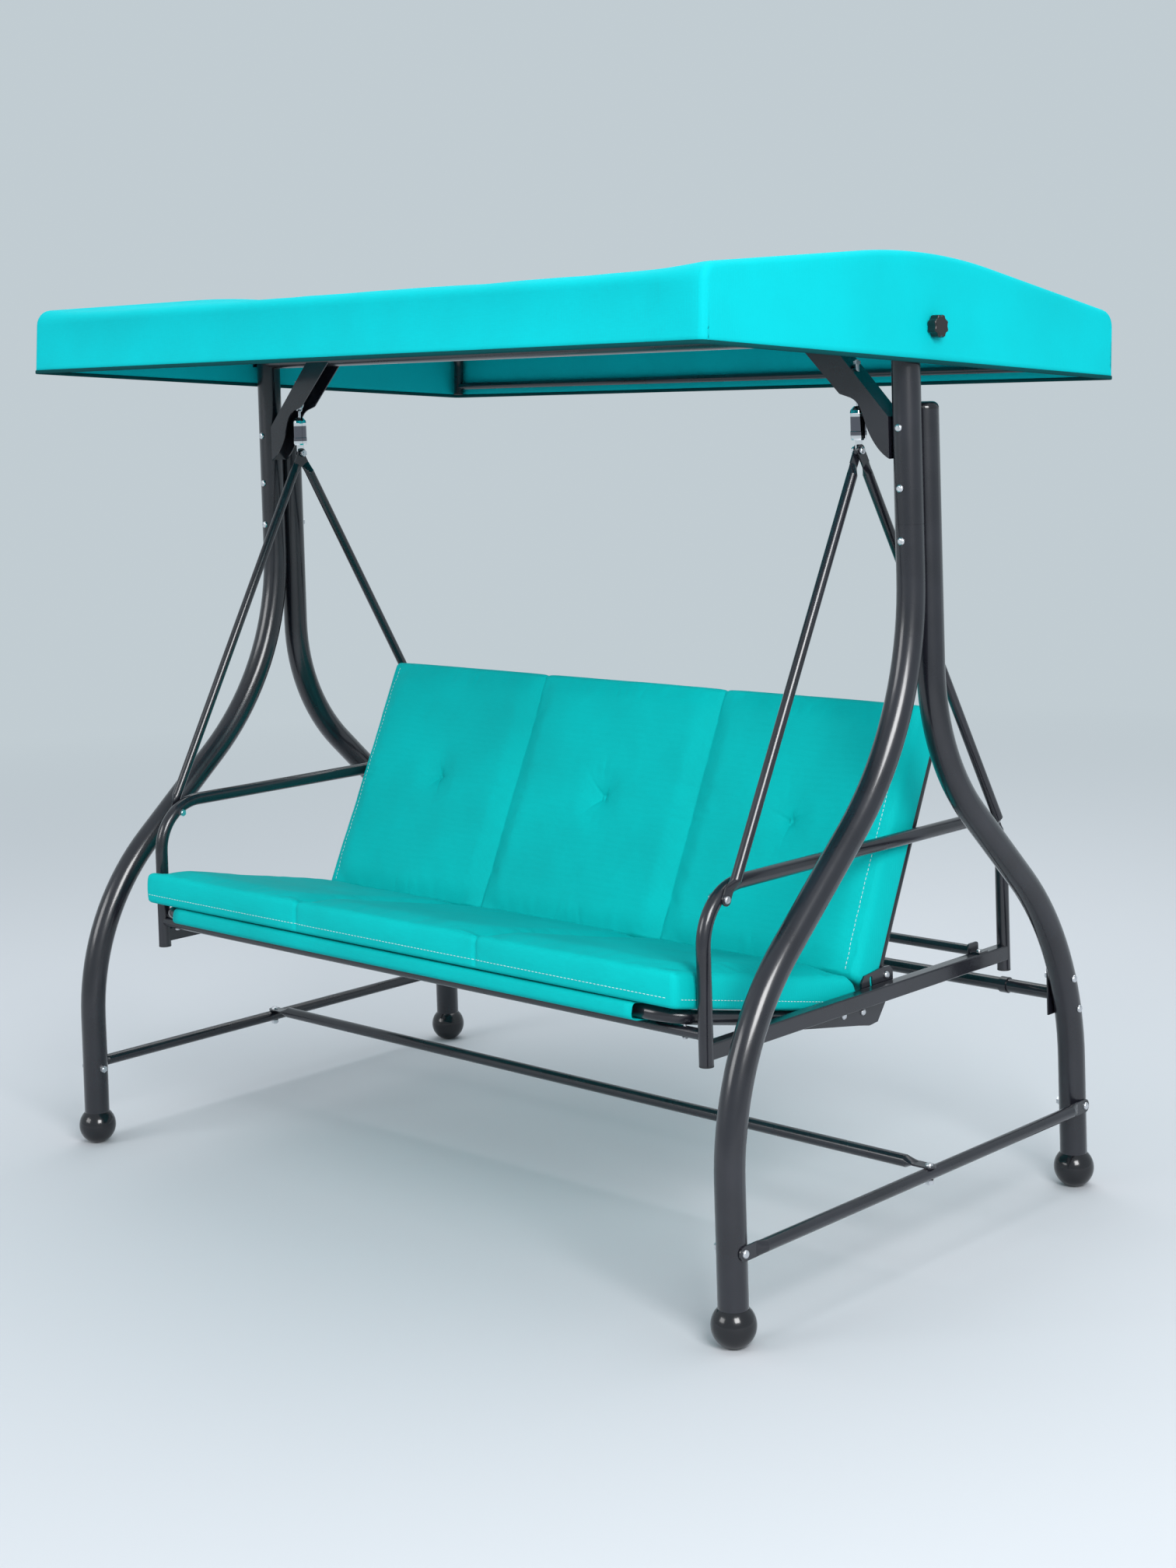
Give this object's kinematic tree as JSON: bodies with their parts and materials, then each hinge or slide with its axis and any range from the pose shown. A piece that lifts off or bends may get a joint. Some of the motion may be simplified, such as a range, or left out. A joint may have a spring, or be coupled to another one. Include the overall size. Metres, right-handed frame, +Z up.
{
  "type": "canopy porch swing",
  "caption": "Free-standing bench swing on curved tube legs, hung on sprung hooks, with a tilting fabric canopy and a cushioned backrest that folds flat.",
  "frame": {"origin": "centre of the footprint of the whole object, on the floor", "axes": "+Z up; -Y the way the sitter faces; +X along the seat, to the sitter's left"},
  "size_m": [1.813, 1.1797, 1.7281],
  "materials": {
    "frame_paint": "smooth satin charcoal powder coat",
    "bolt_steel": "zinc-plated bolt heads and nuts",
    "chrome": "bright chrome",
    "foot_gloss": "glossy black ball",
    "plug_plastic": "matt black plug",
    "knob_plastic": "matt black",
    "canopy_fabric": "woven polyester, bright turquoise",
    "cushion_fabric": "woven polyester, turquoise",
    "button_fabric": "turquoise covered button",
    "sling_fabric": "coated mesh sling, dark teal"
  },
  "bodies": {
    "stand": {"front_leg_left": "frame_paint", "front_leg_right": "frame_paint", "rear_leg_left": "frame_paint", "rear_leg_right": "frame_paint", "upper_post_left": "frame_paint", "upper_post_right": "frame_paint", "foot_front_left": "foot_gloss", "foot_front_right": "foot_gloss", "foot_rear_left": "foot_gloss", "foot_rear_right": "foot_gloss", "foot_bar_left": "frame_paint", "foot_bar_right": "frame_paint", "hanger_bracket_left": "frame_paint", "hanger_bracket_right": "frame_paint", "foot_cross_bar": "frame_paint", "rear_brace": "frame_paint", "top_crossbeam": "frame_paint", "eye_bolts": "bolt_steel", "canopy_lugs": "frame_paint", "post_caps": "foot_gloss", "post_bolts": "bolt_steel", "leg_bolts": "bolt_steel"},
    "hooks": {"hook_rod_left": "bolt_steel", "hook_rod_right": "bolt_steel", "coil_spring_left": "bolt_steel", "coil_spring_right": "bolt_steel"},
    "seat": {"spring_can_left": "chrome", "spring_can_right": "chrome", "hanger_arm_front_left": "frame_paint", "hanger_arm_front_right": "frame_paint", "hanger_arm_rear_left": "frame_paint", "hanger_arm_rear_right": "frame_paint", "arm_frame_left": "frame_paint", "arm_frame_right": "frame_paint", "recline_plate_left": "frame_paint", "recline_plate_right": "frame_paint", "arm_plugs": "plug_plastic", "front_cross_tube": "frame_paint", "rear_cross_tube": "frame_paint", "seat_frame": "frame_paint", "seat_sling": "sling_fabric", "seat_cushion": "cushion_fabric", "seat_bolts": "bolt_steel", "hanger_bolts": "bolt_steel"},
    "backrest": {"back_frame": "frame_paint", "pivot_bolts": "bolt_steel", "back_sling": "sling_fabric", "back_cushion": "cushion_fabric", "back_buttons": "button_fabric"},
    "canopy": {"canopy_bow_left": "frame_paint", "canopy_bow_right": "frame_paint", "canopy_cover": "canopy_fabric", "canopy_front_tube": "frame_paint", "canopy_rear_tube": "frame_paint", "canopy_ridge_tube": "frame_paint", "canopy_end_caps": "plug_plastic"},
    "knob_left": {"knob_left": "knob_plastic", "knob_stud_left": "bolt_steel"},
    "knob_right": {"knob_right": "knob_plastic", "knob_stud_right": "bolt_steel"}
  },
  "joints": [
    {"name": "swing", "type": "hinge", "parent": "stand", "child": "hooks", "pos_m": [0, -0.01864, 1.487], "axis": [1, 0, 0], "range_deg": [-20, 20]},
    {"name": "spring_bounce", "type": "slide", "parent": "hooks", "child": "seat", "axis": [0, 0, 1], "range_m": [-0.012, 0], "stiffness_N_per_m": 30000, "springref_m": 0.018, "deforming": ["coil_spring_left", "coil_spring_right"]},
    {"name": "recline", "type": "hinge", "parent": "seat", "child": "backrest", "pos_m": [0, 0.06743, 0.45197], "axis": [-1, 0, 0], "range_deg": [0, 61.7]},
    {"name": "canopy_tilt", "type": "hinge", "parent": "stand", "child": "canopy", "pos_m": [0, 0.01336, 1.6], "axis": [1, 0, 0], "range_deg": [-15, 15]},
    {"name": "knob_left_turn", "type": "hinge", "parent": "stand", "child": "knob_left", "pos_m": [-0.89, 0.01336, 1.6], "axis": [-1, 0, 0], "range_deg": [0, 720]},
    {"name": "knob_right_turn", "type": "hinge", "parent": "stand", "child": "knob_right", "pos_m": [0.89, 0.01336, 1.6], "axis": [1, 0, 0], "range_deg": [0, 720]}
  ]
}
